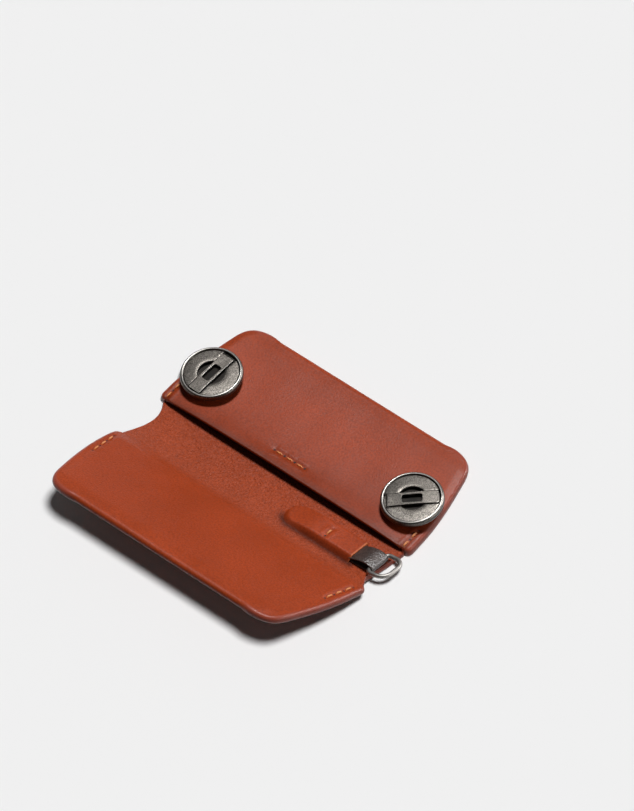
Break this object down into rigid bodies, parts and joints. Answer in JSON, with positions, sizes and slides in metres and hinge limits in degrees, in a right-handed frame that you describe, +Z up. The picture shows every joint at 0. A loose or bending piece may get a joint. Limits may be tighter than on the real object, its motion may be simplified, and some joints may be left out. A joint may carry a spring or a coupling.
{
  "type": "key case",
  "caption": "Slim folding leather key case: two board-stiffened covers on a soft spine, screw-capped key posts with flip handles on one cover, and a lanyard ring on a strap at the spine.",
  "frame": {"origin": "middle of the back cover's flat outer face, on the surface that the case lies on", "axes": "+X along the case towards the ring end, +Y from the spine towards the back cover's folded edge, +Z up along the key posts"},
  "size_m": [0.1077, 0.0982, 0.0278],
  "materials": {
    "tan_leather": "satin smooth tan leather with painted edges",
    "grained_lining": "fine pebbled tan leather",
    "brown_strap": "dark brown waxed leather",
    "board": "plain stiffening board",
    "thread": "waxed orange thread",
    "gunmetal": "bead-blasted gunmetal with bright worn edges",
    "steel": "satin nickel",
    "nylon": "black nylon"
  },
  "bodies": {
    "back": {"back_sleeve": "tan_leather", "back_board": "board", "lining_tuck": "grained_lining", "back_stitches": "thread", "post_base_left": "steel", "post_base_right": "steel"},
    "spine": {"spine_outer": "tan_leather", "spine_lining": "grained_lining", "lanyard_tab": "tan_leather", "strap_loop": "brown_strap", "tab_stitches": "thread"},
    "front": {"front_sleeve": "tan_leather", "front_board": "board", "front_stitches": "thread", "closure_magnet_left": "steel", "closure_magnet_right": "steel"},
    "ring": {"d_ring": "steel"},
    "lift_left": {"washer_left": "nylon"},
    "screw_left": {"cap_left": "gunmetal", "stud_left": "steel", "handle_pin_left": "steel"},
    "flip_left": {"handle_left": "gunmetal"},
    "lift_right": {"washer_right": "nylon"},
    "screw_right": {"cap_right": "gunmetal", "stud_right": "steel", "handle_pin_right": "steel"},
    "flip_right": {"handle_right": "gunmetal"}
  },
  "joints": [
    {"name": "spine_fold", "type": "hinge", "parent": "back", "child": "spine", "pos_m": [0, -0.02045, 0.0022], "axis": [-1, 0, 0], "range_deg": [-12, 77]},
    {"name": "front_fold", "type": "hinge", "parent": "spine", "child": "front", "pos_m": [0, -0.0394, 0.00692], "axis": [-1, 0, 0], "range_deg": [-12, 92]},
    {"name": "ring_swing", "type": "hinge", "parent": "spine", "child": "ring", "pos_m": [0.0478, -0.02971, 0.00544], "axis": [0, 0.9703, -0.2419], "range_deg": [-125, 18]},
    {"name": "cap_lift_left", "type": "slide", "parent": "back", "child": "lift_left", "axis": [0, 0, 1], "range_m": [0, 0.00225]},
    {"name": "cap_turn_left", "type": "hinge", "parent": "lift_left", "child": "screw_left", "pos_m": [-0.042, -0.0052, 0.00561], "axis": [0, 0, 1], "range_deg": [0, 1080]},
    {"name": "handle_flip_left", "type": "hinge", "parent": "screw_left", "child": "flip_left", "pos_m": [-0.04165, 0.00259, 0.00731], "axis": [0.999, -0.0454, 0], "range_deg": [-95, 0]},
    {"name": "cap_lift_right", "type": "slide", "parent": "back", "child": "lift_right", "axis": [0, 0, 1], "range_m": [0, 0.00225]},
    {"name": "cap_turn_right", "type": "hinge", "parent": "lift_right", "child": "screw_right", "pos_m": [0.042, -0.0052, 0.00561], "axis": [0, 0, 1], "range_deg": [0, 1080]},
    {"name": "handle_flip_right", "type": "hinge", "parent": "screw_right", "child": "flip_right", "pos_m": [0.03617, -0.01038, 0.00731], "axis": [-0.6639, 0.7478, 0], "range_deg": [-95, 0]}
  ],
  "couplings": [
    {"joint": "cap_lift_left", "follows": "cap_turn_left", "m_per_rad": 0.00011937},
    {"joint": "cap_lift_right", "follows": "cap_turn_right", "m_per_rad": 0.00011937}
  ]
}
